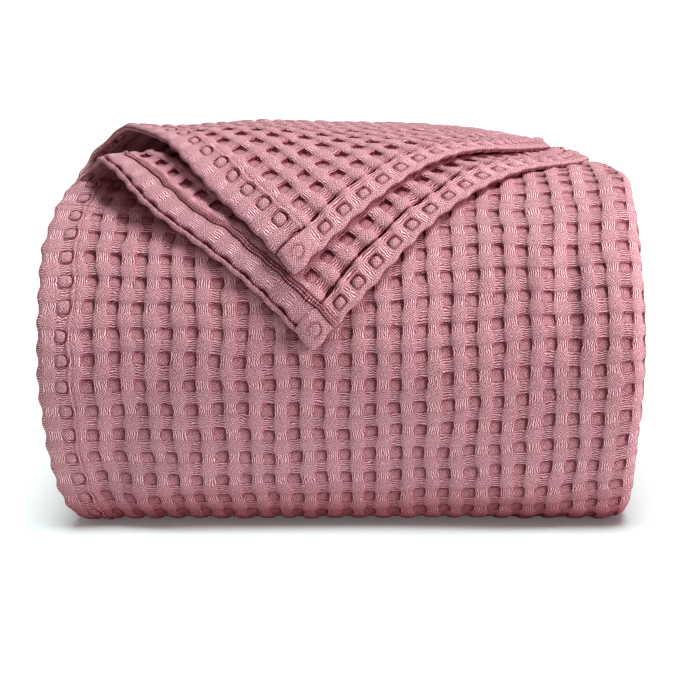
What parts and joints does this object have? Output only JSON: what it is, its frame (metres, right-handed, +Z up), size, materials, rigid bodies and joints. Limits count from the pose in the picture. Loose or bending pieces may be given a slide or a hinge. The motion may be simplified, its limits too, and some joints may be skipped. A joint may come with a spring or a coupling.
{
  "type": "waffle weave cotton blanket",
  "caption": "Folded waffle weave cotton blanket: a soft bundle with a rounded front fold and two hemmed corners turned down over it",
  "frame": {"origin": "middle of the bundle's base box, on the surface that it rests on", "axes": "+X across the bundle to the right, +Y from the rounded front fold to the open back, +Z up"},
  "size_m": [0.382, 0.3094, 0.2508],
  "materials": {
    "cotton": "matte woven cotton, dusty mauve pink"
  },
  "bodies": {
    "root": {"blanket": "cotton"}
  },
  "joints": []
}
